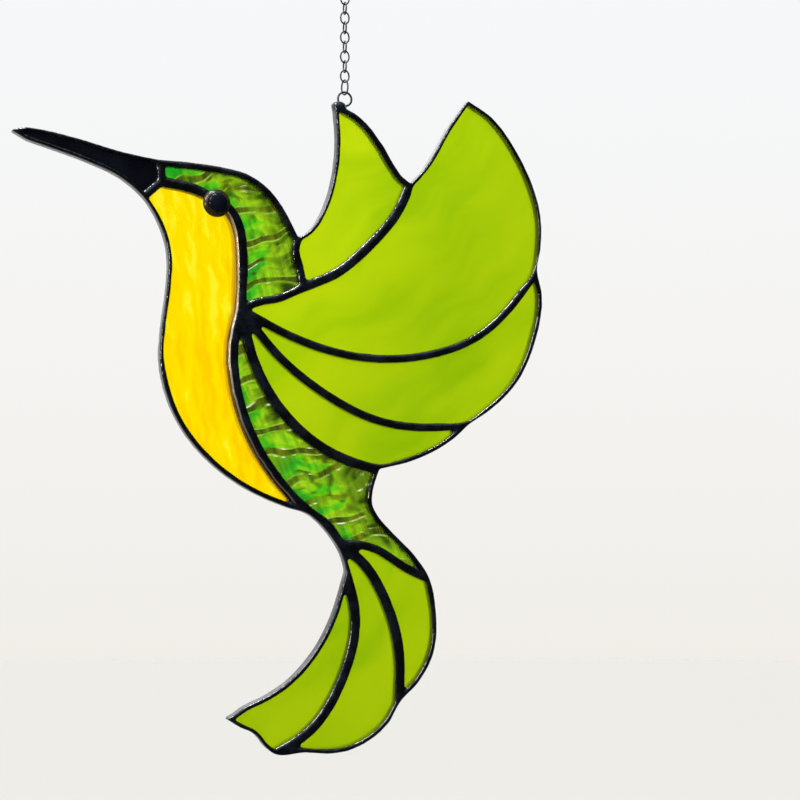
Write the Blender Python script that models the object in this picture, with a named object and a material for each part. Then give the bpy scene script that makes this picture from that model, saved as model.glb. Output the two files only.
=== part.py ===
"""A stained glass hummingbird suncatcher on a ring and a cable chain.

Eleven sheets of glass stand in one network of soldered seams, with a round glass eye on the
front. Lengths are metres, +Z is up and the front faces -Y. The origin is the point where the
top ring bears on its hook.
"""
import math
from dataclasses import dataclass

import bmesh
import bpy
import numpy as np

# Driving sizes
BIRD_HEIGHT = 0.240
GLASS_THICKNESS = 0.003
BEAD_HEIGHT = 0.0007
FIT_GAP = 0.0003

# Widths of the solder as seen from the front
FINE_SEAM = 0.0031
BROAD_SEAM = 0.0038
FINE_RIM = 0.0014
MIDDLE_RIM = 0.0018
BROAD_RIM = 0.0024
ROOT_RIM = 0.0034

# Solder between and round the sheets
WEB_THICKNESS = 0.0006
RIM_WALL = 0.0006

# The eye and its pad
EYE_DIAMETER = 0.010
EYE_HEIGHT = 0.0037
EYE_PAD_MARGIN = 0.0007

# The ring in the wing tip and the drop of solder that holds it
RING_DIAMETER = 0.006
RING_WIRE = 0.0008
DROP_WIDTH = 0.0058
DROP_HEIGHT = 0.0046

# The chain and the ring at its top
LINK_WIRE = 0.0006
LINK_WIDTH = 0.0038
LINK_LENGTH = 0.0051
FIRST_LINK_LENGTH = 0.0061
LINK_COUNT = 11
FIRST_LINK_TURN = math.radians(-63)
TOP_RING_DIAMETER = 0.010
TOP_RING_WIRE = 0.0012

# Fineness of the curves
LINE_STEP = 0.001
LONGEST_FACET = 0.024
FACET_TURN = math.radians(17)
LINK_POINTS = 14
RING_POINTS = 20
EYE_POINTS = 24

# How a loop of seams is read
REACH = BIRD_HEIGHT / 6
STRAIGHT_ON = math.radians(32)
WIDTH_BLEND = 0.004

# The pattern is drawn on a sheet of squares, 240 from the lowest point of the tail to the
# highest of the near wing. The part's x is nought on the line through the hanging ring.
SHEET_SQUARES = 240.0
SQUARE = BIRD_HEIGHT / SHEET_SQUARES

JUNCTIONS = {
    "beak_tip": (-119.1, 217.5),
    "brow": (-68.3, 210.4),
    "cheek": (-67.4, 202.6),
    "throat": (-73.7, 196.9),
    "nape": (-17.0, 185.2),
    "shoulder": (-15.3, 167.4),
    "fan": (-38.2, 158.5),
    "far_tip": (-3.6, 235.6),
    "wing_notch": (26.1, 207.4),
    "peak": (48.7, 239.9),
    "upper_notch": (77.0, 176.5),
    "lower_notch": (48.8, 118.1),
    "hip": (13.8, 101.7),
    "rump": (-12.4, 85.1),
    "chest": (-67.7, 141.0),
    "tail_root": (-3.0, 75.0),
    "tail_hip": (33.7, 61.2),
    "tail_split": (1.1, 64.7),
    "right_notch": (21.6, 16.8),
    "tail_corner": (-25.3, 0.7),
    "tail_tip": (-42.6, 13.7),
}

EYE_PLACE = (-47.7, 195.8)
RING_PLACE = (0.9, 237.2)
DROP_PLACE = (-1.2, 234.1)


@dataclass(frozen=True)
class Seam:
    """A line of solder between two junctions: a rim of the outline, or a seam between sheets."""

    start: str
    bends: tuple
    end: str
    width: float
    rim: bool = False


SEAMS = {
    # The outline, clockwise from the beak
    "beak_top": Seam("beak_tip", ((-116.0, 218.5), (-110.7, 218.4), (-99.7, 216.6),
                                  (-77.1, 211.5)), "brow", FINE_RIM, rim=True),
    "head_top": Seam("brow", ((-60.8, 210.3), (-48.0, 209.2), (-37.5, 207.6), (-28.1, 202.1),
                              (-20.4, 191.6)), "nape", BROAD_RIM, rim=True),
    "far_left": Seam("nape", ((-13.5, 187.4), (-9.1, 193.1), (-3.5, 210.3), (-2.6, 221.3)),
                     "far_tip", FINE_RIM, rim=True),
    "far_right": Seam("far_tip", ((7.5, 229.7), (13.6, 222.9), (18.7, 215.6), (22.6, 209.9)),
                      "wing_notch", BROAD_RIM, rim=True),
    "near_left": Seam("wing_notch", ((31.3, 212.9), (38.3, 224.3), (45.7, 236.0)),
                      "peak", FINE_RIM, rim=True),
    "upper_edge": Seam("peak", ((57.8, 234.7), (68.6, 222.0), (76.8, 205.0), (78.9, 193.6)),
                       "upper_notch", FINE_RIM, rim=True),
    "middle_edge": Seam("upper_notch", ((78.8, 169.5), (75.8, 149.2), (71.3, 138.5),
                                        (60.6, 126.1)), "lower_notch", MIDDLE_RIM, rim=True),
    "lower_edge": Seam("lower_notch", ((42.6, 112.7), (32.9, 107.2), (20.9, 103.1)),
                       "hip", MIDDLE_RIM, rim=True),
    "body_edge": Seam("hip", ((11.7, 95.2), (11.1, 89.3), (14.2, 83.7), (20.0, 77.7),
                              (27.1, 70.8)),
                      "tail_hip", MIDDLE_RIM, rim=True),
    "right_edge": Seam("tail_hip", ((35.4, 52.9), (36.2, 42.9), (34.7, 33.9), (29.8, 25.0)),
                       "right_notch", MIDDLE_RIM, rim=True),
    "middle_hem": Seam("right_notch", ((17.9, 10.4), (10.9, 4.3), (1.5, 0.4), (-8.8, 0.0),
                                       (-15.8, 0.8)), "tail_corner", MIDDLE_RIM, rim=True),
    "left_end": Seam("tail_corner", ((-29.2, 3.8), (-32.6, 7.9), (-38.6, 11.0)),
                     "tail_tip", FINE_RIM, rim=True),
    "left_edge": Seam("tail_tip", ((-38.7, 16.6), (-28.4, 21.3), (-12.0, 34.8), (-4.6, 47.3)),
                      "tail_split", MIDDLE_RIM, rim=True),
    "middle_edge_left": Seam("tail_split", ((0.0, 69.6),), "tail_root", FINE_RIM, rim=True),
    "body_under": Seam("tail_root", ((-8.0, 81.4),), "rump", ROOT_RIM, rim=True),
    "belly_edge": Seam("rump", ((-31.9, 92.4), (-54.7, 109.5), (-62.9, 122.0),
                                (-66.5, 133.0)), "chest", MIDDLE_RIM, rim=True),
    "chest_edge": Seam("chest", ((-67.0, 151.0), (-65.7, 161.4), (-64.9, 177.0),
                                 (-67.3, 186.2)), "throat", FINE_RIM, rim=True),
    "beak_under": Seam("throat", ((-81.0, 202.8), (-87.6, 205.9), (-106.8, 212.3),
                                  (-116.8, 215.8)), "beak_tip", FINE_RIM, rim=True),
    # The seams between sheets
    "beak_head": Seam("brow", ((-67.4, 206.5),), "cheek", FINE_SEAM),
    "beak_breast": Seam("cheek", (), "throat", FINE_SEAM),
    "neck": Seam("cheek", ((-52.3, 199.7), (-41.3, 192.3), (-37.8, 176.0)), "fan", BROAD_SEAM),
    "belly": Seam("fan", ((-40.4, 150.2), (-40.1, 131.8), (-32.2, 109.5), (-19.9, 92.8)),
                  "rump", BROAD_SEAM),
    "head_wing": Seam("fan", ((-33.1, 161.0), (-25.0, 162.8)), "shoulder", FINE_SEAM),
    "nape_seam": Seam("nape", ((-18.1, 180.5), (-16.4, 174.0)), "shoulder", FINE_SEAM),
    "wing_wing": Seam("shoulder", ((-2.3, 173.1), (9.5, 183.1), (20.8, 196.2)),
                      "wing_notch", BROAD_SEAM),
    "upper_middle": Seam("fan", ((-26.4, 152.4), (2.3, 143.1), (36.0, 144.6), (53.3, 151.6)),
                         "upper_notch", FINE_SEAM),
    "middle_lower": Seam("fan", ((-25.2, 143.1), (-6.7, 128.8), (15.7, 118.9),
                                 (35.0, 117.2)), "lower_notch", FINE_SEAM),
    "body_wing": Seam("fan", ((-35.8, 147.2), (-27.5, 128.6), (-7.9, 109.5), (5.4, 103.7)),
                      "hip", BROAD_SEAM),
    "body_tail": Seam("tail_root", ((12.7, 72.6), (23.7, 65.9)), "tail_hip", FINE_SEAM),
    "left_middle": Seam("tail_split", ((4.7, 49.2), (-1.4, 23.6), (-8.5, 12.2), (-17.0, 5.0)),
                        "tail_corner", BROAD_SEAM),
    "middle_right": Seam("tail_root", ((5.9, 69.4), (14.1, 58.5), (21.7, 34.3)), "right_notch",
                         BROAD_SEAM),
}

OUTLINE = ("beak_top", "head_top", "far_left", "far_right", "near_left", "upper_edge",
           "middle_edge", "lower_edge", "body_edge", "right_edge", "middle_hem", "left_end",
           "left_edge", "middle_edge_left", "body_under", "belly_edge", "chest_edge",
           "beak_under")

# Each sheet's finish, and its seams in order round it from a true corner
SHEETS = {
    "beak": ("black_glass", ("beak_top", "beak_head", "beak_breast", "beak_under")),
    "breast": ("amber_glass", ("beak_breast", "neck", "belly", "belly_edge", "chest_edge")),
    "head_nape": ("green_glass", ("head_top", "nape_seam", "head_wing", "neck", "beak_head")),
    "back_body": ("green_glass", ("body_wing", "body_edge", "body_tail", "body_under", "belly")),
    "far_wing": ("lime_glass", ("far_left", "far_right", "wing_wing", "nape_seam")),
    "wing_feather_upper": ("lime_glass", ("upper_edge", "upper_middle", "head_wing", "wing_wing",
                                          "near_left")),
    "wing_feather_middle": ("lime_glass", ("upper_middle", "middle_edge", "middle_lower")),
    "wing_feather_lower": ("lime_glass", ("middle_lower", "lower_edge", "body_wing")),
    "tail_feather_left": ("lime_glass", ("left_middle", "left_end", "left_edge")),
    "tail_feather_middle": ("lime_glass", ("middle_right", "middle_hem", "left_middle",
                                           "middle_edge_left")),
    "tail_feather_right": ("lime_glass", ("body_tail", "right_edge", "middle_right")),
}

# Colour, roughness, metallic value and transmission of each finish
FINISHES = {
    "black_glass": ((0.010, 0.010, 0.012), 0.08, 0.0, 0.0),
    "amber_glass": ((0.95, 0.62, 0.01), 0.10, 0.0, 0.8),
    "green_glass": ((0.28, 0.50, 0.03), 0.12, 0.0, 0.8),
    "lime_glass": ((0.42, 0.60, 0.01), 0.15, 0.0, 0.3),
    "black_solder": ((0.020, 0.021, 0.026), 0.28, 0.7, 0.0),
    "dark_wire": ((0.060, 0.062, 0.070), 0.30, 0.9, 0.0),
}

# Depths, measured from the middle of the glass
SLOT_DEPTH = GLASS_THICKNESS / 2 + FIT_GAP
FACE_DEPTH = SLOT_DEPTH + BEAD_HEIGHT
PAST_FACE = 0.001

# The bead's section, as shares of a seam's width and of the bead's height
SHOULDER_SHARE = 0.80
CROWN_SHARE = 0.38
SHOULDER_RISE = 0.50
ROUNDING = 0.30
ROUNDING_SHOULDER = 0.10

# The stack from the hook down to the bird
RING_BORE_RADIUS = RING_DIAMETER / 2 - RING_WIRE
TOP_RING_BORE_RADIUS = TOP_RING_DIAMETER / 2 - TOP_RING_WIRE
FIRST_LINK_HOLE = FIRST_LINK_LENGTH - 2 * LINK_WIRE
LINK_HOLE = LINK_LENGTH - 2 * LINK_WIRE
LINK_PITCH = LINK_HOLE - FIT_GAP
CHAIN_FOOT = (FIT_GAP - 2 * TOP_RING_BORE_RADIUS - (LINK_COUNT - 1) * LINK_PITCH
              - FIRST_LINK_HOLE)
RING_CENTRE_HEIGHT = CHAIN_FOOT + FIT_GAP - RING_BORE_RADIUS
BIRD_FOOT = RING_CENTRE_HEIGHT - RING_PLACE[1] * SQUARE


def on_part(place):
    """A point of the pattern as x and z in metres in the part's frame."""
    return np.array([(place[0] - RING_PLACE[0]) * SQUARE, place[1] * SQUARE + BIRD_FOOT])


def spline_tangents(stations, points):
    """The tangents of the natural cubic spline through the points."""
    count = len(points)
    matrix = np.zeros((count, count))
    right = np.zeros((count, 2))
    spans = np.diff(stations)
    slopes = np.diff(points, axis=0) / spans[:, None]
    matrix[0, :2] = (2.0, 1.0)
    right[0] = 3.0 * slopes[0]
    matrix[-1, -2:] = (1.0, 2.0)
    right[-1] = 3.0 * slopes[-1]
    for i in range(1, count - 1):
        matrix[i, i - 1] = spans[i]
        matrix[i, i] = 2.0 * (spans[i - 1] + spans[i])
        matrix[i, i + 1] = spans[i - 1]
        right[i] = 3.0 * (spans[i] * slopes[i - 1] + spans[i - 1] * slopes[i])
    return np.linalg.solve(matrix, right)


def smooth_line(points):
    """A smooth curve through the points, as points about LINE_STEP apart."""
    points = np.array(points)
    if len(points) == 2:
        points = np.array([points[0], points.mean(axis=0), points[1]])
    spans = np.linalg.norm(np.diff(points, axis=0), axis=1)
    stations = np.concatenate([[0.0], np.cumsum(spans)])
    tangents = spline_tangents(stations, points)
    line = []
    for i, span in enumerate(spans):
        steps = max(2, round(span / LINE_STEP))
        for t in np.arange(steps) / steps:
            line.append((2 * t**3 - 3 * t**2 + 1) * points[i]
                        + (t**3 - 2 * t**2 + t) * span * tangents[i]
                        + (3 * t**2 - 2 * t**3) * points[i + 1]
                        + (t**3 - t**2) * span * tangents[i + 1])
    line.append(points[-1])
    return np.array(line)


def seam_line(name):
    """A seam's drawn line from its start to its end."""
    seam = SEAMS[name]
    places = (JUNCTIONS[seam.start], *seam.bends, JUNCTIONS[seam.end])
    return smooth_line([on_part(place) for place in places])


def headings(line):
    """The direction of a line at each of its points."""
    steps = np.gradient(line, axis=0)
    return steps / np.linalg.norm(steps, axis=1)[:, None]


def turn_between(first, second):
    """The angle between two directions, positive to the left."""
    cross = first[0] * second[1] - first[1] * second[0]
    return math.atan2(cross, float(np.dot(first, second)))


def smoothed(values):
    """Values along a line, evened out over WIDTH_BLEND to each side."""
    reach = round(WIDTH_BLEND / LINE_STEP)
    padded = np.pad(values, reach, mode="edge")
    weights = np.ones(2 * reach + 1) / (2 * reach + 1)
    return np.convolve(padded, weights, mode="valid")


def sides_of(names, inset):
    """The sides of a loop of seams, each a line and its insets.

    Where one seam runs straight on into the next, the two make one side.
    """
    lines = []
    for i, name in enumerate(names):
        seam = SEAMS[name]
        after = SEAMS[names[(i + 1) % len(names)]]
        line = seam_line(name)
        if seam.end not in (after.start, after.end):
            line = line[::-1]
        lines.append((line, np.full(len(line), inset(seam))))
    sides = [lines[0]]
    for line, insets in lines[1:]:
        last_line, last_insets = sides[-1]
        if abs(turn_between(headings(last_line)[-1], headings(line)[0])) < STRAIGHT_ON:
            joined = np.concatenate([last_insets[:-1], insets])
            sides[-1] = (np.concatenate([last_line[:-1], line]), smoothed(joined))
        else:
            sides.append((line, insets))
    return sides


def loop_area(points):
    """Twice the signed area of a loop, positive when it runs counter-clockwise."""
    following = np.roll(points, -1, axis=0)
    return float(np.sum(points[:, 0] * following[:, 1] - following[:, 0] * points[:, 1]))


def reached(line):
    """A line lengthened straight on at both ends."""
    first = line[0] + REACH * (line[0] - line[1]) / np.linalg.norm(line[0] - line[1])
    last = line[-1] + REACH * (line[-1] - line[-2]) / np.linalg.norm(line[-1] - line[-2])
    return np.vstack([first, line, last])


def crossing(first, second, corner):
    """Where two lines cross nearest to a corner, as a station on each."""
    start_a = first[:-1, None]
    start_b = second[None, :-1]
    run_a = np.diff(first, axis=0)[:, None]
    run_b = np.diff(second, axis=0)[None, :]
    apart = start_b - start_a
    cross = run_a[..., 0] * run_b[..., 1] - run_a[..., 1] * run_b[..., 0]
    cross = np.where(np.abs(cross) < 1e-18, 1e-18, cross)
    along_a = (apart[..., 0] * run_b[..., 1] - apart[..., 1] * run_b[..., 0]) / cross
    along_b = (apart[..., 0] * run_a[..., 1] - apart[..., 1] * run_a[..., 0]) / cross
    hit = (along_a >= 0) & (along_a <= 1) & (along_b >= 0) & (along_b <= 1)
    places = start_a + along_a[..., None] * run_a
    distance = np.where(hit, np.linalg.norm(places - corner, axis=2), np.inf)
    i, j = np.unravel_index(np.argmin(distance), distance.shape)
    return i + along_a[i, j], j + along_b[i, j]


def point_at(line, station):
    """The point of a line at a station, counted in its own points."""
    index = min(int(station), len(line) - 2)
    share = station - index
    return line[index] * (1 - share) + line[index + 1] * share


def facet_stations(line):
    """How many facets each point of a side has behind it, for its length and its turning."""
    lengths = np.linalg.norm(np.diff(line, axis=0), axis=1)
    ways = headings(line)
    turns = [abs(turn_between(a, b)) for a, b in zip(ways, ways[1:])]
    steps = lengths / LONGEST_FACET + np.array(turns) / FACET_TURN
    return np.concatenate([[0.0], np.cumsum(steps)])


def ring_of(names, inset):
    """The loop that stands in from a loop of seams, as an equal number of points each time."""
    sides = sides_of(names, inset)
    drawn = np.concatenate([line[:-1] for line, _ in sides])
    inward = 1.0 if loop_area(drawn) > 0 else -1.0
    moved = []
    for line, insets in sides:
        ways = headings(line)
        normals = np.column_stack([-ways[:, 1], ways[:, 0]]) * inward
        moved.append(reached(line + normals * insets[:, None]))
    meets = [crossing(moved[i - 1], moved[i], sides[i][0][0]) for i in range(len(sides))]
    points = []
    for i, line in enumerate(moved):
        facets = facet_stations(sides[i][0])
        count = max(2, math.ceil(facets[-1]))
        past = REACH / LONGEST_FACET
        facets = np.concatenate([[-past], facets, [facets[-1] + past]])
        stations = np.arange(len(facets))
        start = np.interp(meets[i][1], stations, facets)
        end = np.interp(meets[(i + 1) % len(moved)][0], stations, facets)
        for step in range(count):
            wanted = start + (end - start) * step / count
            points.append(point_at(line, np.interp(wanted, facets, stations)))
    return np.array(points)


def window_inset(share):
    """The inset of a window's edge, at a share of the seam's half width."""
    def inset(seam):
        if seam.rim:
            return seam.width * (1 + share) / 2
        return seam.width * share / 2
    return inset


def sheet_inset(gap):
    """The inset of the slot for a sheet, or of the sheet itself with its gap."""
    def inset(seam):
        wall = RIM_WALL if seam.rim else WEB_THICKNESS / 2
        return wall + gap
    return inset


def rim_inset(share):
    """The inset of the outline, as a share of the rim's width."""
    def inset(seam):
        return seam.width * share
    return inset


def add_object(name, mesh, collection):
    """A new object of a mesh in a collection."""
    item = bpy.data.objects.new(name, mesh)
    collection.objects.link(item)
    return item


def loft(name, rings, collection):
    """A closed solid through rings of equally many points, given as depth and loop."""
    shape = bmesh.new()
    loops = []
    for depth, points in rings:
        loops.append([shape.verts.new((x, depth, z)) for x, z in points])
    for near, far in zip(loops, loops[1:]):
        for i, corner in enumerate(near):
            following = (i + 1) % len(near)
            shape.faces.new((corner, far[i], far[following], near[following]))
    shape.faces.new(loops[0])
    shape.faces.new(loops[-1][::-1])
    bmesh.ops.recalc_face_normals(shape, faces=shape.faces)
    mesh = bpy.data.meshes.new(name)
    shape.to_mesh(mesh)
    shape.free()
    return add_object(name, mesh, collection)


def mirrored_rings(half):
    """Rings from the front face to the back face, from those of the front half."""
    return half + [(-depth, points) for depth, points in reversed(half)]


def solder_plate(collection):
    """The outline as one plate with rounded edges, before the windows are cut."""
    crown = ring_of(OUTLINE, rim_inset(ROUNDING))
    shoulder = ring_of(OUTLINE, rim_inset(ROUNDING_SHOULDER))
    edge = ring_of(OUTLINE, rim_inset(0.0))
    rise = SLOT_DEPTH + SHOULDER_RISE * BEAD_HEIGHT
    half = [(-FACE_DEPTH, crown), (-rise, shoulder), (-SLOT_DEPTH, edge)]
    return loft("solder_seams", mirrored_rings(half), collection)


def sheet_cutter(name, seams, collection):
    """The room of one sheet: its slot, and the windows that flare out to both faces."""
    crown = ring_of(seams, window_inset(CROWN_SHARE))
    shoulder = ring_of(seams, window_inset(SHOULDER_SHARE))
    window = ring_of(seams, window_inset(1.0))
    slot = ring_of(seams, sheet_inset(0.0))
    rise = SLOT_DEPTH + SHOULDER_RISE * BEAD_HEIGHT
    half = [(-FACE_DEPTH - PAST_FACE, crown), (-FACE_DEPTH, crown), (-rise, shoulder),
            (-SLOT_DEPTH, window), (-SLOT_DEPTH, slot)]
    return loft(name + "_cutter", mirrored_rings(half), collection)


def glass_sheet(name, seams, collection):
    """A flat sheet cut to its shape, standing in the middle of its slot."""
    outline = ring_of(seams, sheet_inset(FIT_GAP))
    curve = bpy.data.curves.new(name, "CURVE")
    curve.dimensions = "2D"
    curve.fill_mode = "BOTH"
    curve.extrude = GLASS_THICKNESS / 2
    spline = curve.splines.new("POLY")
    spline.points.add(len(outline) - 1)
    for point, (x, z) in zip(spline.points, outline):
        point.co = (x, z, 0.0, 1.0)
    spline.use_cyclic_u = True
    sheet = add_object(name, curve, collection)
    sheet.rotation_euler = (math.pi / 2, 0.0, 0.0)
    return sheet


def drop_of_solder(collection):
    """The drop at the far wing's tip, in which the ring is set."""
    shape = bmesh.new()
    bmesh.ops.create_uvsphere(shape, u_segments=16, v_segments=8, radius=1.0)
    bmesh.ops.scale(shape, vec=(DROP_WIDTH / 2, FACE_DEPTH, DROP_HEIGHT / 2), verts=shape.verts)
    mesh = bpy.data.meshes.new("drop")
    shape.to_mesh(mesh)
    shape.free()
    drop = add_object("drop", mesh, collection)
    x, z = on_part(DROP_PLACE)
    drop.location = (x, 0.0, z)
    return drop


def eye_pad(collection):
    """The round pad of solder that the eye sits on, over the seam."""
    shape = bmesh.new()
    bmesh.ops.create_cone(shape, cap_ends=True, segments=EYE_POINTS, depth=BEAD_HEIGHT,
                          radius1=EYE_DIAMETER / 2 - EYE_PAD_MARGIN,
                          radius2=EYE_DIAMETER / 2 - EYE_PAD_MARGIN)
    mesh = bpy.data.meshes.new("eye_pad")
    shape.to_mesh(mesh)
    shape.free()
    pad = add_object("eye_pad", mesh, collection)
    x, z = on_part(EYE_PLACE)
    pad.location = (x, -SLOT_DEPTH - BEAD_HEIGHT / 2, z)
    pad.rotation_euler = (math.pi / 2, 0.0, 0.0)
    return pad


def eye_dome(collection):
    """The eye: a flat-backed dome of glass on its pad."""
    shape = bmesh.new()
    bmesh.ops.create_uvsphere(shape, u_segments=EYE_POINTS, v_segments=12, radius=1.0)
    bmesh.ops.scale(shape, vec=(EYE_DIAMETER / 2, EYE_DIAMETER / 2, EYE_HEIGHT),
                    verts=shape.verts)
    every = shape.verts[:] + shape.edges[:] + shape.faces[:]
    cut = bmesh.ops.bisect_plane(shape, geom=every, plane_co=(0.0, 0.0, 0.0),
                                 plane_no=(0.0, 0.0, -1.0), clear_outer=True, dist=1e-6)
    rim = [item for item in cut["geom_cut"] if isinstance(item, bmesh.types.BMEdge)]
    bmesh.ops.edgeloop_fill(shape, edges=rim)
    bmesh.ops.recalc_face_normals(shape, faces=shape.faces)
    mesh = bpy.data.meshes.new("eye")
    shape.to_mesh(mesh)
    shape.free()
    mesh.shade_smooth()
    eye = add_object("eye", mesh, collection)
    x, z = on_part(EYE_PLACE)
    eye.location = (x, -FACE_DEPTH - FIT_GAP, z)
    eye.rotation_euler = (math.pi / 2, 0.0, 0.0)
    return eye


def wire_loop(name, points, wire, bevel_resolution=1):
    """A closed loop of round wire through points in its own XZ plane."""
    curve = bpy.data.curves.new(name, "CURVE")
    curve.dimensions = "3D"
    curve.bevel_depth = wire / 2
    curve.bevel_resolution = bevel_resolution
    spline = curve.splines.new("POLY")
    spline.points.add(len(points) - 1)
    for point, (x, z) in zip(spline.points, points):
        point.co = (x, 0.0, z, 1.0)
    spline.use_cyclic_u = True
    return curve


def circle_points(radius, count):
    """Points round a circle."""
    angles = [2 * math.pi * i / count for i in range(count)]
    return [(radius * math.sin(angle), radius * math.cos(angle)) for angle in angles]


def link_points(length, width, wire):
    """Points round the middle of a link's wire: two half circles and two straight sides."""
    radius = (width - wire) / 2
    straight = (length - wire) / 2 - radius
    half = LINK_POINTS // 2
    angles = [math.pi * i / (half - 1) for i in range(half)]
    top = [(radius * math.cos(angle), straight + radius * math.sin(angle)) for angle in angles]
    return top + [(-x, -z) for x, z in top]


def solid_copy(item, name, collection):
    """A curve object's shape as a closed mesh object, in place of the curve."""
    bpy.context.view_layer.update()
    evaluated = item.evaluated_get(bpy.context.evaluated_depsgraph_get())
    mesh = bpy.data.meshes.new_from_object(evaluated)
    shape = bmesh.new()
    shape.from_mesh(mesh)
    bmesh.ops.remove_doubles(shape, verts=shape.verts, dist=1e-6)
    shape.to_mesh(mesh)
    shape.free()
    solid = add_object(name, mesh, collection)
    solid.matrix_world = item.matrix_world.copy()
    bpy.data.objects.remove(item)
    return solid


def ring_tunnel(collection):
    """The tunnel through the drop that the ring passes, with its gap."""
    wire = RING_WIRE + 2 * FIT_GAP
    radius = (RING_DIAMETER - RING_WIRE) / 2
    curve = wire_loop("ring_tunnel", circle_points(radius, RING_POINTS), wire)
    item = add_object("ring_tunnel_curve", curve, collection)
    item.location = (0.0, 0.0, RING_CENTRE_HEIGHT)
    return solid_copy(item, "ring_tunnel", collection)


def add_boolean(item, name, operation, other):
    """A Boolean modifier with one object or a whole collection."""
    modifier = item.modifiers.new(name, "BOOLEAN")
    modifier.operation = operation
    modifier.solver = "EXACT"
    if isinstance(other, bpy.types.Collection):
        modifier.operand_type = "COLLECTION"
        modifier.collection = other
    else:
        modifier.object = other
    return modifier


def hide_guides(collection):
    """Draw cutters and guides as wires and keep them out of pictures."""
    for item in collection.all_objects:
        item.hide_render = True
        item.display_type = "WIRE"


def solder_network(parts, guides, rooms):
    """The soldered network: the plate less the sheets' rooms, with the drop and the pad."""
    plate = solder_plate(parts)
    for name, (_, seams) in SHEETS.items():
        sheet_cutter(name, seams, rooms)
    add_boolean(plate, "drop", "UNION", drop_of_solder(guides))
    add_boolean(plate, "rooms", "DIFFERENCE", rooms)
    add_boolean(plate, "eye pad", "UNION", eye_pad(guides))
    add_boolean(plate, "ring tunnel", "DIFFERENCE", ring_tunnel(guides))
    return plate


def hanging_ring(collection):
    """The jump ring in the wing tip, in the plane of the bird."""
    radius = (RING_DIAMETER - RING_WIRE) / 2
    curve = wire_loop("hanging_ring", circle_points(radius, RING_POINTS), RING_WIRE)
    ring = add_object("hanging_ring", curve, collection)
    ring.location = (0.0, 0.0, RING_CENTRE_HEIGHT)
    return ring


def chain(collection):
    """The cable chain from the bird's ring up: links turned by quarter turns."""
    first_curve = wire_loop("first_link", link_points(FIRST_LINK_LENGTH, LINK_WIDTH, LINK_WIRE),
                            LINK_WIRE)
    other_curve = wire_loop("link", link_points(LINK_LENGTH, LINK_WIDTH, LINK_WIRE), LINK_WIRE)
    links = []
    foot = CHAIN_FOOT
    for number in range(1, LINK_COUNT + 1):
        first = number == 1
        hole = FIRST_LINK_HOLE if first else LINK_HOLE
        curve = first_curve if first else other_curve
        link = add_object(f"chain_link_{number:02d}", curve, collection)
        turn = FIRST_LINK_TURN if first else math.pi / 2 * (number % 2)
        link.location = (0.0, 0.0, foot + hole / 2)
        link.rotation_euler = (0.0, 0.0, turn)
        foot += hole - FIT_GAP
        links.append(link)
    return links


def top_ring(collection):
    """The ring at the chain's top, which bears on a hook at the origin."""
    radius = (TOP_RING_DIAMETER - TOP_RING_WIRE) / 2
    curve = wire_loop("top_ring", circle_points(radius, RING_POINTS), TOP_RING_WIRE)
    ring = add_object("top_ring", curve, collection)
    ring.location = (0.0, 0.0, -TOP_RING_BORE_RADIUS)
    return ring


def finish_material(name):
    """The material of one finish."""
    colour, roughness, metallic, transmission = FINISHES[name]
    material = bpy.data.materials.new(name)
    material.use_nodes = True
    shader = material.node_tree.nodes["Principled BSDF"]
    shader.inputs["Base Color"].default_value = (*colour, 1.0)
    shader.inputs["Roughness"].default_value = roughness
    shader.inputs["Metallic"].default_value = metallic
    shader.inputs["Transmission Weight"].default_value = transmission
    material.diffuse_color = (*colour, 1.0)
    return material


def new_collection(name, parent):
    """A collection linked under another."""
    collection = bpy.data.collections.new(name)
    parent.children.link(collection)
    return collection


def clear_scene():
    """Remove the objects that the file opened with."""
    for item in list(bpy.data.objects):
        bpy.data.objects.remove(item)


def build():
    """Build every piece of the suncatcher."""
    clear_scene()
    scene = bpy.context.scene.collection
    parts = new_collection("stained_glass_suncatcher", scene)
    guides = new_collection("guides", scene)
    rooms = new_collection("sheet_rooms", guides)
    finishes = {name: finish_material(name) for name in FINISHES}
    dressed = [(solder_network(parts, guides, rooms), "black_solder")]
    for name, (finish, seams) in SHEETS.items():
        dressed.append((glass_sheet(name, seams, parts), finish))
    dressed.append((eye_dome(parts), "black_glass"))
    dressed.append((hanging_ring(parts), "dark_wire"))
    dressed.extend((link, "dark_wire") for link in chain(parts))
    dressed.append((top_ring(parts), "dark_wire"))
    for item, finish in dressed:
        if not item.data.materials:
            item.data.materials.append(finishes[finish])
    hide_guides(guides)


build()
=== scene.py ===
"""Looks of a stained glass hummingbird suncatcher in the copper foil technique.

The soldered seams, the rippled clear glass, the eye, the chain and the rings get finely made
pieces in the place of their plain solids. The opalescent feathers and the black beak keep their
sheets, each with a finish of its own. Lengths are metres, and the bird's front faces -Y.
"""

import logging
import math
from dataclasses import dataclass
from enum import Enum
from functools import cache

import bmesh
import bpy
import numpy as np
from bmesh.types import BMEdge, BMesh, BMFace, BMVert
from bpy.types import ID, Material, Mesh, Node, NodeSocket, NodeTree, Object, bpy_prop_collection
from mathutils import Matrix, Vector, noise
from mathutils.kdtree import KDTree
from numpy import ndarray


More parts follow.
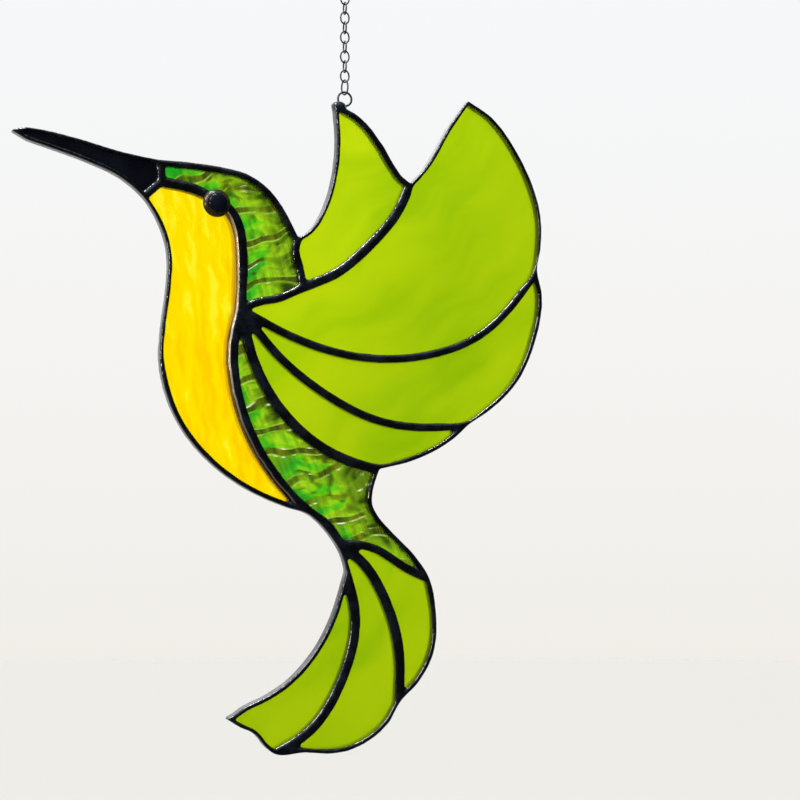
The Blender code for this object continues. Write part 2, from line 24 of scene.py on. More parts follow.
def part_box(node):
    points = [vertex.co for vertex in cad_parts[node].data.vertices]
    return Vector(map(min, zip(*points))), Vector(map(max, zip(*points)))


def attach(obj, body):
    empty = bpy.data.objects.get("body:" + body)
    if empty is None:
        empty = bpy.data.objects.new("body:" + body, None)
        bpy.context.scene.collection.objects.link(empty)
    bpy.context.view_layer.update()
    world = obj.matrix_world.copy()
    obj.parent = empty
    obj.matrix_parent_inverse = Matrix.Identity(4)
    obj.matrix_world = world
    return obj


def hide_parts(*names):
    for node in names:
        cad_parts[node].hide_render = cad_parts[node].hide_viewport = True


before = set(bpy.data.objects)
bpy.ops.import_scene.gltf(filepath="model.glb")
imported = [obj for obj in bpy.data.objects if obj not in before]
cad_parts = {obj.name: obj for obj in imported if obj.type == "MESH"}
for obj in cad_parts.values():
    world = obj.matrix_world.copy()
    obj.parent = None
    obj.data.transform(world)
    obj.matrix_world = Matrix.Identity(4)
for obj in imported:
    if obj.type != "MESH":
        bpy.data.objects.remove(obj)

LOG = logging.getLogger("suncatcher")
BODY = "root"
WELD = 1e-6
STEPS_IN_AND_OUT = (0.5, -0.52)
Triple = tuple[float, float, float]


# Mesh helpers


def welded_copy(node: str) -> BMesh:
    """Copy a solid's mesh and weld its loose triangles.

    Args:
        node: The solid's name.

    Returns:
        The welded copy.
    """
    shape = bmesh.new()
    shape.from_mesh(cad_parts[node].data)
    bmesh.ops.remove_doubles(shape, verts=shape.verts, dist=WELD)
    return shape


def open_edges(shape: BMesh) -> list[BMEdge]:
    """List the edges that have a face on one side only."""
    return [edge for edge in shape.edges if edge.is_boundary]


def new_object(name: str, data: ID) -> Object:
    """Add an object to the scene.

    Args:
        name: Its name.
        data: Its mesh, camera or light.

    Returns:
        The object.
    """
    item = bpy.data.objects.new(name, data)
    bpy.context.scene.collection.objects.link(item)
    return item


def add_piece(name: str, mesh: Mesh, material: Material,
              nodes: tuple[str, ...] = ()) -> Object:
    """Add a smooth shaded piece that hangs with the bird.

    Args:
        name: The piece's name.
        mesh: Its mesh, in its place.
        material: Its finish.
        nodes: The solids that it stands for.

    Returns:
        The new object.
    """
    mesh.shade_smooth()
    mesh.materials.clear()
    mesh.materials.append(material)
    item = new_object(name, mesh)
    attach(item, BODY)
    if nodes:
        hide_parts(*nodes)
    LOG.info("%s: %d faces", name, len(mesh.polygons))
    return item


def finished_mesh(name: str, shape: BMesh) -> Mesh:
    """Turn a shape into a mesh with its faces pointing out.

    Args:
        name: The mesh's name.
        shape: The shape, which is freed.

    Returns:
        The mesh.
    """
    bmesh.ops.recalc_face_normals(shape, faces=shape.faces)
    mesh = bpy.data.meshes.new(name)
    shape.to_mesh(mesh)
    shape.free()
    return mesh


def fine_mesh(name: str, shape: BMesh, voxel: float) -> Mesh:
    """Rebuild a closed shape from small even faces.

    Args:
        name: The mesh's name.
        shape: The closed shape, which is freed.
        voxel: The size of a face.

    Returns:
        The fine mesh.
    """
    coarse = finished_mesh(name + "_coarse", shape)
    item = new_object(name + "_coarse", coarse)
    remesh = item.modifiers.new("even faces", "REMESH")
    remesh.mode = "VOXEL"
    remesh.voxel_size = voxel
    remesh.adaptivity = 0.0
    graph = bpy.context.evaluated_depsgraph_get()
    fine = bpy.data.meshes.new_from_object(item.evaluated_get(graph))
    fine.name = name
    bpy.data.objects.remove(item)
    bpy.data.meshes.remove(coarse)
    return fine


def fine_sheet(node: str, voxel: float, evening: int = 2) -> tuple[Mesh, ndarray]:
    """Rebuild a solid from small even faces and even them out.

    Args:
        node: The solid's name.
        voxel: The size of a face.
        evening: How often it is evened out.

    Returns:
        The mesh and the new places for its points.
    """
    mesh = fine_mesh(node, welded_copy(node), voxel)
    return mesh, relaxed(mesh, rows_of(mesh.vertices), evening)


def rows_of(points: bpy_prop_collection, name: str = "co") -> ndarray:
    """Read a place or normal for each point of a mesh.

    Args:
        points: The mesh's vertices, or the normals there.
        name: What is read of each.

    Returns:
        Rows of x, y and z.
    """
    flat = np.empty(len(points) * 3, dtype=np.float32)
    points.foreach_get(name, flat)
    return flat.reshape(-1, 3).astype(float)


def set_places(mesh: Mesh, places: ndarray) -> None:
    """Move a mesh's points to new places."""
    mesh.vertices.foreach_set("co", places.ravel())
    mesh.update()


def set_attribute(mesh: Mesh, name: str, values: ndarray) -> None:
    """Store one value for each point of a mesh, for its finish to read."""
    attribute = mesh.attributes.new(name, "FLOAT", "POINT")
    attribute.data.foreach_set("value", values.astype(np.float32))


def relaxed(mesh: Mesh, places: ndarray, rounds: int) -> ndarray:
    """Even out a surface without shrinking it.

    Args:
        mesh: The mesh that gives the edges.
        places: The places of its points.
        rounds: How often a step in and a step back out are taken.

    Returns:
        The new places.
    """
    edges = np.empty(len(mesh.edges) * 2, dtype=np.int32)
    mesh.edges.foreach_get("vertices", edges)
    first, second = edges.reshape(-1, 2).T
    count = len(places)
    shares = np.bincount(first, minlength=count) + np.bincount(second, minlength=count)
    shares = np.maximum(shares, 1)[:, None]
    for _ in range(rounds):
        for step in STEPS_IN_AND_OUT:
            mean = np.zeros_like(places)
            for axis in range(3):
                mean[:, axis] = (np.bincount(first, places[second, axis], count)
                                 + np.bincount(second, places[first, axis], count))
            places = places + step * (mean / shares - places)
    return places


def search_tree(places: ndarray) -> KDTree:
    """Make a tree that finds the nearest places seen from the front.

    Args:
        places: Rows of x and z.

    Returns:
        The tree, which gives the rows' numbers.
    """
    tree = KDTree(len(places))
    for index, (x, z) in enumerate(places):
        tree.insert((x, 0.0, z), index)
    tree.balance()
    return tree


def uneven(places: ndarray, grain: float, seed: float = 0.0) -> ndarray:
    """Smooth seeded unevenness at each place, from about -1 to 1.

    Args:
        places: Rows of x, y and z.
        grain: The size of a bump.
        seed: Another value gives another pattern.

    Returns:
        One value for each place.
    """
    shift = Vector((seed, 2.0 * seed, 3.0 * seed))
    return np.array([noise.noise(Vector(place) / grain + shift) for place in places])


def edges_beside(sheet: ndarray, points: ndarray,
                 step: float = 0.002) -> tuple[ndarray, ndarray, ndarray]:
    """Find a sheet's left and right edge at the height of each point.

    Args:
        sheet: The sheet's own points, as rows of x, y and z.
        points: The points that ask.
        step: The height of the slices that the sheet is read in.

    Returns:
        For each point the x of the left edge, the x of the right edge and how steeply the
        right edge leans.
    """
    foot = sheet[:, 2].min()
    rows = np.floor((sheet[:, 2] - foot) / step).astype(int)
    left = np.full(rows.max() + 1, np.inf)
    right = -left
    np.minimum.at(left, rows, sheet[:, 0])
    np.maximum.at(right, rows, sheet[:, 0])
    heights = foot + (np.arange(len(left)) + 0.5) * step
    lean = np.gradient(right, step)
    return tuple(np.interp(points[:, 2], heights, edge) for edge in (left, right, lean))


# Shader helpers


class Shader:
    """A node tree with short ways to add and join its nodes."""

    def __init__(self, tree: NodeTree) -> None:
        """Work on a tree."""
        self.tree = tree

    def add(self, kind: str, settings: dict | None = None, *values: object,
            **inputs: object) -> Node:
        """Add a node.

        Args:
            kind: Its type, without ShaderNode in front.
            settings: Its properties by name.
            values: Its first inputs in order: a socket to link, or a value.
            inputs: Its inputs by name, with _ for a space.

        Returns:
            The node.
        """
        node = self.tree.nodes.new("ShaderNode" + kind)
        for name, value in (settings or {}).items():
            setattr(node, name, value)
        for index, value in enumerate(values):
            self.feed(node, index, value)
        self.feed_all(node, **inputs)
        return node

    def feed(self, node: Node, name: str | int, value: object) -> None:
        """Link a socket to a node's input, or set the input's value.

        Args:
            node: The node.
            name: The input's name or number.
            value: The socket or the value.
        """
        if isinstance(value, NodeSocket):
            self.tree.links.new(value, node.inputs[name])
        else:
            node.inputs[name].default_value = value

    def feed_all(self, node: Node, **inputs: object) -> None:
        """Feed several inputs by name, with _ for a space."""
        for name, value in inputs.items():
            self.feed(node, name.replace("_", " "), value)

    def attribute(self, name: str) -> NodeSocket:
        """Read a value that the mesh stores for its points."""
        return self.add("Attribute", {"attribute_name": name}).outputs["Fac"]

    def axes(self, vector: NodeSocket) -> tuple[NodeSocket, ...]:
        """Split a vector into its x, y and z."""
        return tuple(self.add("SeparateXYZ", Vector=vector).outputs)

    def vector(self, **parts: object) -> NodeSocket:
        """Join X, Y and Z into a vector."""
        return self.add("CombineXYZ", **parts).outputs[0]

    def noise(self, place: NodeSocket, detail: float, roughness: float = 0.5,
              scale: object = 1.0, bend: float = 0.0) -> NodeSocket:
        """Add a Noise Texture node and return its value."""
        return self.add("TexNoise", Vector=place, Scale=scale, Detail=detail,
                        Roughness=roughness, Distortion=bend).outputs["Fac"]

    def group(self, tree: NodeTree, **inputs: object) -> tuple[NodeSocket, ...]:
        """Add a group node and return its values."""
        return tuple(self.add("Group", {"node_tree": tree}, **inputs).outputs)

    def math(self, operation: str, *values: object) -> NodeSocket:
        """Add a Math node and return its value."""
        return self.add("Math", {"operation": operation}, *values).outputs[0]

    def ramp(self, factor: NodeSocket,
             stops: tuple[tuple[float, tuple[float, ...]], ...]) -> NodeSocket:
        """Add a Color Ramp node.

        Args:
            factor: What it reads.
            stops: Places from 0 to 1, each with its colour.

        Returns:
            The colour.
        """
        node = self.add("ValToRGB", Fac=factor)
        steps = node.color_ramp.elements
        while len(steps) < len(stops):
            steps.new(0.5)
        for step, (place, colour) in zip(steps, stops):
            step.position = place
            step.color = (*colour[:3], 1.0)
        return node.outputs["Color"]

    def range(self, value: NodeSocket, low: float, high: float, to_low: float = 0.0,
              to_high: float = 1.0) -> NodeSocket:
        """Add a smooth Map Range node and return its result."""
        return self.add("MapRange", {"interpolation_type": "SMOOTHSTEP"}, value, low, high,
                        to_low, to_high).outputs[0]

    def mix(self, factor: object, first: object, second: object, blend: str = "MIX") -> NodeSocket:
        """Add a Mix node for colours.

        Args:
            factor: The second colour's share.
            first: The first colour.
            second: The second colour.
            blend: How they are blended.

        Returns:
            The mixed colour.
        """
        node = self.add("Mix", {"data_type": "RGBA", "blend_type": blend})
        self.feed(node, 0, factor)
        for index, value in ((6, first), (7, second)):
            if isinstance(value, tuple):
                value = (*value[:3], 1.0)
            self.feed(node, index, value)
        return node.outputs[2]


def shader_group(name: str, inputs: dict[str, float | None],
                 outputs: tuple[str, ...]) -> tuple[Shader, Node, Node]:
    """Start a shader node group.

    Args:
        name: The group's name.
        inputs: Its inputs with their values, None for a vector.
        outputs: Its outputs, each a value.

    Returns:
        The tree, its input node and its output node.
    """
    tree = bpy.data.node_groups.new(name, "ShaderNodeTree")
    for label, value in inputs.items():
        kind = "NodeSocketVector" if value is None else "NodeSocketFloat"
        socket = tree.interface.new_socket(label, in_out="INPUT", socket_type=kind)
        if value is not None:
            socket.default_value = value
    for label in outputs:
        tree.interface.new_socket(label, in_out="OUTPUT", socket_type="NodeSocketFloat")
    shader = Shader(tree)
    return shader, tree.nodes.new("NodeGroupInput"), tree.nodes.new("NodeGroupOutput")


@cache
def streak_group() -> NodeTree:
    """Long wavy streaks in the glass, as rolled glass has them.

    Returns:
        The group: Streak runs along the sheet and Cloud is soft and broad.
    """
    shader, given, out = shader_group(
        "glass streaks", {"Vector": None, "Lean": 0.0, "Width": 0.006, "Length": 0.05,
                          "Wave": 0.5}, ("Streak", "Cloud"))
    place, lean, width, length, wave = given.outputs[:5]
    turned = shader.add("VectorRotate", {"rotation_type": "Y_AXIS"}, Vector=place, Angle=lean)
    x, _, z = shader.axes(turned.outputs[0])
    across = shader.math("DIVIDE", x, width)
    along = shader.math("DIVIDE", z, length)
    sway = shader.noise(shader.vector(X=shader.math("MULTIPLY", across, 0.25),
                                      Z=shader.math("MULTIPLY", along, 2.2)), 1.0)
    moved = shader.math("MULTIPLY_ADD", shader.math("SUBTRACT", sway, 0.5),
                        shader.math("MULTIPLY", wave, 6.0), across)
    streak = shader.noise(shader.vector(X=moved, Y=3.7, Z=along), 3.0, 0.55)
    cloud = shader.noise(shader.vector(X=shader.math("MULTIPLY", across, 0.3), Y=9.1,
                                       Z=shader.math("MULTIPLY", along, 0.9)), 2.0)
    shader.feed_all(out, Streak=streak, Cloud=cloud)
    return shader.tree


@cache
def lump_group() -> NodeTree:
    """Fine unevenness of a hand-worked glossy surface.

    Returns:
        The group: Height for a bump and Patch for the roughness.
    """
    shader, given, out = shader_group("hand-worked surface", {"Vector": None, "Grain": 0.0012},
                                      ("Height", "Patch"))
    place, grain = given.outputs[:2]
    scale = shader.math("DIVIDE", 1.0, grain)
    lumps = shader.noise(place, 2.5, 0.5, scale)
    patches = shader.noise(place, 3.0, 0.6, shader.math("MULTIPLY", scale, 0.35))
    shader.feed_all(out, Height=lumps, Patch=patches)
    return shader.tree


def new_material(name: str) -> tuple[Material, Shader, Node, NodeSocket]:
    """Start a material.

    Args:
        name: The material's name.

    Returns:
        The material, its tree, its Principled BSDF and its Object coordinates.
    """
    material = bpy.data.materials.new(name)
    material.use_nodes = True
    shader = Shader(material.node_tree)
    surface = material.node_tree.nodes["Principled BSDF"]
    coordinates = shader.add("TexCoord")
    return material, shader, surface, coordinates.outputs["Object"]


def bump(shader: Shader, surface: Node, height: NodeSocket, strength: float,
         distance: float = 0.0010) -> None:
    """Feed a height to a surface's normal through a Bump node."""
    node = shader.add("Bump", Strength=strength, Distance=distance, Height=height)
    shader.feed(surface, "Normal", node.outputs["Normal"])


# Finishes


@dataclass(frozen=True)
class LimeGlass:
    """Lime opalescent glass: faint wisps of a deeper green, deeper down and to the right."""

    light: Triple = (0.515, 0.685, 0.0)
    middle: Triple = (0.455, 0.655, 0.0)
    deep: Triple = (0.360, 0.585, 0.0)
    far_tint: Triple = (0.80, 0.86, 1.0)
    far_way: tuple[float, float] = (0.8, -0.6)
    near: float = 0.060
    far: float = 0.105
    lean: float = -0.90
    width: float = 0.012
    length: float = 0.06
    wave: float = 0.35
    streak_share: float = 0.55
    smoothest: float = 0.38
    roughest: float = 0.48

    def material(self) -> Material:
        """Make the finish.

        Returns:
            The material.
        """
        material, shader, surface, place = new_material("lime_glass")
        streak, cloud = shader.group(streak_group(), Vector=place, Lean=self.lean,
                                     Width=self.width, Length=self.length, Wave=self.wave)
        blend = shader.math("MULTIPLY_ADD", streak, self.streak_share,
                            shader.math("MULTIPLY", cloud, 1.0 - self.streak_share))
        colour = shader.ramp(blend, ((0.39, self.deep), (0.50, self.middle), (0.61, self.light)))
        x, _, z = shader.axes(place)
        reach = shader.math("MULTIPLY_ADD", x, self.far_way[0],
                            shader.math("MULTIPLY", z, self.far_way[1]))
        colour = shader.mix(shader.range(reach, self.near, self.far), colour,
                            self.far_tint, "MULTIPLY")
        rough = shader.range(streak, 0.3, 0.7, self.smoothest, self.roughest)
        shader.feed_all(surface, Base_Color=colour, Roughness=rough, Transmission_Weight=0.975,
                        IOR=1.25, Specular_IOR_Level=0.08)
        bump(shader, surface, cloud, 0.15)
        return material


@dataclass(frozen=True)
class AmberGlass:
    """Amber yellow see-through glass with wavy streaks and the foil's brown at one edge."""

    light: Triple = (1.0, 0.88, 0.022)
    middle: Triple = (1.0, 0.765, 0.0)
    deep: Triple = (1.0, 0.64, 0.0)
    lean: float = 0.16
    width: float = 0.0026
    length: float = 0.018
    wave: float = 0.30
    foil: Triple = (0.50, 0.24, 0.03)
    hidden: float = 0.0012
    foil_width: float = 0.0017
    top: float = -0.085
    foot: float = -0.185

    def material(self) -> Material:
        """Make the finish.

        Returns:
            The material.
        """
        material, shader, surface, place = new_material("amber_glass")
        streak, _ = shader.group(streak_group(), Vector=place, Lean=self.lean,
                                 Width=self.width, Length=self.length, Wave=self.wave)
        lighter = shader.range(shader.axes(place)[2], self.foot, self.top, -0.08, 0.04)
        blend = shader.math("ADD", streak, lighter)
        colour = shader.ramp(blend, ((0.32, self.deep), (0.47, self.middle), (0.54, self.middle),
                                     (0.60, self.light)))
        foil = shader.range(shader.attribute("edge"), self.hidden + self.foil_width * 0.6,
                            self.hidden + self.foil_width, 0.85, 0.0)
        shader.feed_all(surface, Base_Color=shader.mix(foil, colour, self.foil), Roughness=0.10,
                        Transmission_Weight=0.96, IOR=1.15)
        bump(shader, surface, streak, 0.5)
        return material


@dataclass(frozen=True)
class GreenGlass:
    """Green see-through ripple glass: olive ridge bands, part own colour and part painted shade,
    with painted highlights.
    """

    emerald: Triple = (0.018, 0.47, 0.020)
    bright: Triple = (0.14, 0.66, 0.010)
    lime: Triple = (0.40, 0.72, 0.012)
    moss: Triple = (0.185, 0.370, 0.008)
    olive: Triple = (0.175, 0.205, 0.006)
    dark: Triple = (0.030, 0.060, 0.005)
    # painted_sparkle and painted_edge_light are painted highlights, mixed into the base colour
    painted_sparkle: Triple = (1.0, 1.0, 0.97)
    painted_edge_light: Triple = (0.50, 0.80, 0.12)
    patch: float = 0.0080
    line: float = 0.0010
    stroke: float = 0.0022
    band_foot: float = 0.84
    band_sway: float = -0.20
    band_top: tuple[float, float] = (0.955, 0.995)
    glint_widths: tuple[float, float] = (0.012, 0.038)
    glint_fade: float = 0.06

    def noise(self, shader: Shader, along: NodeSocket, size: float,
              across: NodeSocket, rate: float, detail: float = 2.0,
              bend: float = 0.0) -> NodeSocket:
        """Add a noise that runs by its own sizes along and across the ridges.

        Args:
            shader: The material's tree.
            along: How far a point lies along its ridge.
            size: The noise's size along the ridge.
            across: Which ridge a point lies on.
            rate: How often it changes from one ridge to the next.
            detail: Its detail.
            bend: Its distortion.

        Returns:
            The noise's value.
        """
        place = shader.vector(X=shader.math("DIVIDE", along, size),
                              Y=shader.math("MULTIPLY", across, rate))
        return shader.noise(place, detail, bend=bend)

    def glint(self, shader: Shader, height: NodeSocket, level: float,
              stroke: NodeSocket, least: float) -> NodeSocket:
        """Mark the painted highlight strokes along one edge of the ridges."""
        off = shader.math("ABSOLUTE", shader.math("SUBTRACT", height, level))
        return shader.math("MULTIPLY", shader.range(off, *self.glint_widths, 1.0, 0.0),
                           shader.range(stroke, least, least + self.glint_fade))

    def material(self) -> Material:
        """Make the finish, which reads the ridge that each point lies on.

        Returns:
            The material.
        """
        material, shader, surface, _ = new_material("green_glass")
        ridge, along, side = map(shader.attribute, ("ridge", "along", "side"))
        height = shader.math("FRACT", ridge)
        cell = shader.math("FLOOR", ridge)
        lines = self.noise(shader, along, self.line, ridge, 0.9, 2.0, 0.5)
        patches = self.noise(shader, along, self.patch, ridge, 1.7, 2.5, 0.7)
        broad = self.noise(shader, along, self.patch * 1.6, ridge, 0.8, 1.0)
        hue = shader.math("MULTIPLY_ADD", shader.math("SUBTRACT", patches, 0.5), 1.6, side)
        colour = shader.ramp(hue, ((0.02, self.emerald), (0.28, self.bright), (0.50, self.lime),
                                   (0.76, self.moss), (0.98, self.dark)))
        upper = shader.math("MULTIPLY_ADD", shader.math("SUBTRACT", broad, 0.5), 1.8, height)
        colour = shader.mix(shader.range(upper, 0.50, 0.90, 0.0, 0.80), colour, self.moss)
        depth = self.noise(shader, along, self.patch * 0.8, ridge, 1.3, 2.0, 1.2)
        colour = shader.mix(shader.range(depth, 0.58, 0.70, 0.0, 0.80), colour, self.dark)
        streaks = shader.range(lines, 0.36, 0.58, 0.42, 0.0)
        colour = shader.mix(streaks, colour, self.dark)
        # olive band near the top of each ridge: partly the glass's own colour, partly painted
        # shade of the darker surroundings that the ridges refract
        low = shader.math("MULTIPLY_ADD", broad, self.band_sway, self.band_foot)
        above = shader.math("SUBTRACT", height, low)
        present = shader.range(self.noise(shader, along, self.patch * 1.3, cell, 3.1, 1.0),
                               0.36, 0.50)
        band = shader.math("MULTIPLY", shader.range(above, -0.01, 0.05),
                           shader.range(height, *self.band_top, 0.9, 0.0))
        band = shader.math("MULTIPLY", band, present)
        ground = shader.mix(shader.range(lines, 0.42, 0.62), self.dark, self.olive)
        colour = shader.mix(band, colour, ground)
        # painted highlights: light green strokes along both edges of the olive band
        edges = shader.math("MAXIMUM", self.glint(shader, above, -0.012, patches, 0.46),
                            self.glint(shader, height, 0.985, broad, 0.46))
        edges = shader.math("MULTIPLY", edges, shader.math("MULTIPLY", present, 0.6))
        colour = shader.mix(edges, colour, self.painted_edge_light)
        # painted sparkles: white strokes along the ridges' edges stand in for highlights
        stroke = shader.math("MULTIPLY_ADD", broad, 0.9,
                             self.noise(shader, along, self.stroke, cell, 7.3, 1.0))
        other = shader.math("MULTIPLY_ADD", patches, 0.9,
                            self.noise(shader, along, self.stroke * 1.4, cell, 5.9, 1.0))
        glints = shader.math("MAXIMUM", self.glint(shader, above, -0.02, stroke, 1.06),
                             self.glint(shader, height, 0.98, other, 1.07))
        shader.feed_all(surface, Base_Color=shader.mix(glints, colour, self.painted_sparkle),
                        Roughness=0.06, Transmission_Weight=0.92, IOR=1.20)
        bump(shader, surface, lines, 0.6)
        return material


@dataclass(frozen=True)
class BlackGlass:
    """Black opaque glass with a polished face."""

    name: str = "black_glass"
    colour: Triple = (0.0015, 0.0015, 0.003)
    sheen: Triple = (0.005, 0.006, 0.011)
    bend: float = 1.5
    grain: float = 0.011
    smoothest: float = 0.05
    roughest: float = 0.10

    def material(self) -> Material:
        """Make the finish.

        Returns:
            The material.
        """
        material, shader, surface, place = new_material(self.name)
        height, patch = shader.group(lump_group(), Vector=place, Grain=self.grain)
        tint = shader.mix(shader.range(patch, 0.35, 0.7), self.colour, self.sheen)
        shader.feed_all(surface, Base_Color=tint, IOR=self.bend,
                        Roughness=shader.range(patch, 0.3, 0.7, self.smoothest, self.roughest))
        bump(shader, surface, height, 0.08)
        return material


@dataclass(frozen=True)
class SmokeGlass:
    """The eye's rounded brown edge, through which light passes."""

    colour: Triple = (0.20, 0.12, 0.03)
    deep: Triple = (0.09, 0.06, 0.02)
    grain: float = 0.002

    def material(self) -> Material:
        """Make the finish.

        Returns:
            The material.
        """
        material, shader, surface, place = new_material("smoke_glass")
        _, patch = shader.group(lump_group(), Vector=place, Grain=self.grain)
        tint = shader.mix(shader.range(patch, 0.35, 0.65), self.colour, self.deep)
        shader.feed_all(surface, Base_Color=tint, Roughness=0.26, Transmission_Weight=0.85,
                        IOR=1.35)
        return material


class MetalKind(Enum):
    """The two metals of the piece."""

    SOLDER = "black_solder"
    WIRE = "dark_wire"


@dataclass(frozen=True)
class BlackMetal:
    """Metal with a black finish, a little uneven, with a line of bare foil if it is marked."""

    kind: MetalKind
    dark: Triple
    sheen: Triple
    metallic: float
    smoothest: float
    roughest: float
    grain: float
    strength: float
    foil: Triple = (0.30, 0.24, 0.18)
    foil_place: float = -0.00105
    foil_width: float = 0.00040
    foil_faint: float = -0.180
    foil_clear: float = -0.135

    def material(self) -> Material:
        """Make the finish.

        Returns:
            The material.
        """
        material, shader, surface, place = new_material(self.kind.value)
        height, patch = shader.group(lump_group(), Vector=place, Grain=self.grain)
        off = shader.math("ABSOLUTE", shader.math("SUBTRACT", shader.attribute("foil"),
                                                  self.foil_place))
        bare = shader.math("MULTIPLY",
                           shader.range(off, self.foil_width * 0.5, self.foil_width, 1.0, 0.0),
                           shader.range(shader.axes(place)[2], self.foil_faint,
                                        self.foil_clear, 0.22, 1.0))
        colour = shader.mix(shader.range(patch, 0.42, 0.68), self.dark, self.sheen)
        shader.feed_all(surface, Base_Color=shader.mix(bare, colour, self.foil), IOR=1.6,
                        Roughness=shader.range(patch, 0.3, 0.7, self.smoothest, self.roughest),
                        Metallic=self.metallic)
        bump(shader, surface, height, self.strength, self.grain * 0.25)
        return material


SOLDER = BlackMetal(MetalKind.SOLDER, (0.0015, 0.0015, 0.0025), (0.005, 0.007, 0.011), 0.0, 0.09,
                    0.20, 0.0022, 0.45)
WIRE = BlackMetal(MetalKind.WIRE, (0.035, 0.040, 0.045), (0.070, 0.080, 0.088), 0.85, 0.22,
                  0.38, 0.0009, 0.15)


# Pieces


@dataclass
class SolderNetwork:
    """The soldered seams and rims: beads on both faces, rounded and slightly lumpy."""

    node: str = "solder_seams"
    slot_depth: float = 0.0018
    touch: float = 2e-5
    voxel: float = 0.00056
    corner: float = math.radians(38)
    shortest_run: float = 0.0004
    meeting: float = 4e-5
    stations: int = 10
    reach: float = 0.0035
    neighbours: int = 6
    softness: float = 1e-7
    evening: int = 8
    pointed: float = math.radians(84)
    pull: float = 0.0034
    furthest: float = 0.0016
    wall: float = 0.0007
    broad_lump: float = 0.0042
    broad_height: float = 0.00014
    small_lump: float = 0.0016
    small_height: float = 0.00006
    edge_share: float = 0.25
    foil_top: float = -0.093
    foil_foot: float = -0.198

    def filled(self) -> BMesh:
        """Copy the network with the sheets' slots filled.

        Returns:
            The closed shape, whose windows have straight walls.
        """
        shape = welded_copy(self.node)
        ledges = []
        for face in shape.faces:
            depths = [corner.co.y for corner in face.verts]
            level = abs(abs(depths[0]) - self.slot_depth) < self.touch
            if level and max(depths) - min(depths) < self.touch:
                ledges.append(face)
        bmesh.ops.delete(shape, geom=ledges, context="FACES")
        inner = [face for island in self.islands(shape)
                 if max(abs(v.co.y) for face in island for v in face.verts)
                 < self.slot_depth + self.touch for face in island]
        bmesh.ops.delete(shape, geom=inner, context="FACES")
        walls = bmesh.ops.extrude_edge_only(shape, edges=open_edges(shape))["geom"]
        feet = [item for item in walls if isinstance(item, BMVert)]
        for foot in feet:
            foot.co.y = 0.0
        bmesh.ops.remove_doubles(shape, verts=feet, dist=self.meeting)
        bmesh.ops.triangle_fill(shape, edges=open_edges(shape), use_beauty=True)
        return shape

    @staticmethod
    def islands(shape: BMesh) -> list[list[BMFace]]:
        """Split a shape's faces into groups that hang together.

        Args:
            shape: The shape.

        Returns:
            The groups.
        """
        left = set(shape.faces)
        groups = []
        while left:
            group = [left.pop()]
            for face in group:
                for edge in face.edges:
                    for other in edge.link_faces:
                        if other in left:
                            left.remove(other)
                            group.append(other)
            groups.append(group)
        return groups

    def edge_chains(self, shape: BMesh) -> list[ndarray]:
        """Follow the bead's outer edges on the front and back.

        Args:
            shape: The filled network.

        Returns:
            Chains of corners, each a row of x and z.
        """
        chains = []
        for side in (-self.slot_depth, self.slot_depth):
            left = {edge for edge in shape.edges
                    if all(abs(corner.co.y - side) < self.touch for corner in edge.verts)}
            while left:
                edge = left.pop()
                chain = [edge.verts[0], edge.verts[1]]
                for _ in range(2):
                    chain.reverse()
                    while True:
                        step = next((e for e in chain[-1].link_edges if e in left), None)
                        if step is None:
                            break
                        left.remove(step)
                        chain.append(step.other_vert(chain[-1]))
                chains.append(self.without_jogs([(v.co.x, v.co.z) for v in chain]))
        return [chain for chain in chains if len(chain) > 3]

    def without_jogs(self, chain: list[tuple[float, float]]) -> ndarray:
        """Leave out corners that lie closer together than the shortest run.

        Args:
            chain: The x and z of a chain's corners.

        Returns:
            The corners that stay.
        """
        kept = [np.array(chain[0])]
        for place in chain[1:]:
            if np.linalg.norm(kept[-1] - place) > self.shortest_run:
                kept.append(np.array(place))
        if np.hypot(*(np.array(chain[0]) - chain[-1])) < self.shortest_run:
            kept[-1] = kept[0]
        return np.array(kept)

    def curve_shifts(self, chain: ndarray) -> tuple[ndarray, ndarray]:
        """Compare a chain of straight runs with the smooth curve through its corners.

        Args:
            chain: The chain's corners.

        Returns:
            Places on the straight runs, and the way from each to the curve.
        """
        steps, starts = np.diff(chain, axis=0), chain[:-1]
        lengths = np.linalg.norm(steps, axis=1)
        ways = steps / lengths[:, None]
        shares = (np.arange(self.stations) + 0.5) / self.stations
        places, shifts = [], []
        for i in range(len(steps)):
            entry = self.tangent(ways, lengths, i - 1, i)
            leaving = self.tangent(ways, lengths, i, (i + 1) % len(ways), at_end=True)
            for share in shares:
                bend = ((share**3 - 2 * share**2 + share) * (entry - ways[i])
                        + (share**3 - share**2) * (leaving - ways[i])) * lengths[i]
                places.append(starts[i] + share * steps[i])
                shifts.append(bend)
        return np.array(places), np.array(shifts)

    def tangent(self, ways: ndarray, lengths: ndarray, before: int, after: int,
                at_end: bool = False) -> ndarray:
        """Find the curve's direction at a corner.

        Args:
            ways: The directions of the chain's runs.
            lengths: Their lengths.
            before: The run before the corner.
            after: The run after it.
            at_end: Whether the run before is the one that asks.

        Returns:
            The direction, which is the run's own where the corner is sharp.
        """
        own = ways[before] if at_end else ways[after]
        turn = math.acos(max(-1.0, min(1.0, float(ways[before] @ ways[after]))))
        if turn > self.corner:
            return own
        mean = ways[before] * lengths[after] + ways[after] * lengths[before]
        return mean / np.linalg.norm(mean)

    def tips(self, outline: ndarray) -> list[ndarray]:
        """Find the pointed tips, which the even faces round off.

        Args:
            outline: The bird's outline, as rows of x and z.

        Returns:
            The tips.
        """
        steps = np.diff(outline, axis=0)
        ways = steps / np.linalg.norm(steps, axis=1)[:, None]
        x, z = outline.T
        turning = np.sign((x[:-1] * z[1:] - x[1:] * z[:-1]).sum())
        found = []
        for i, way in enumerate(ways):
            before = ways[i - 1]
            bend = turning * (before[0] * way[1] - before[1] * way[0])
            if bend > 0.0 and float(before @ way) < math.cos(self.pointed):
                found.append(outline[i])
        return found

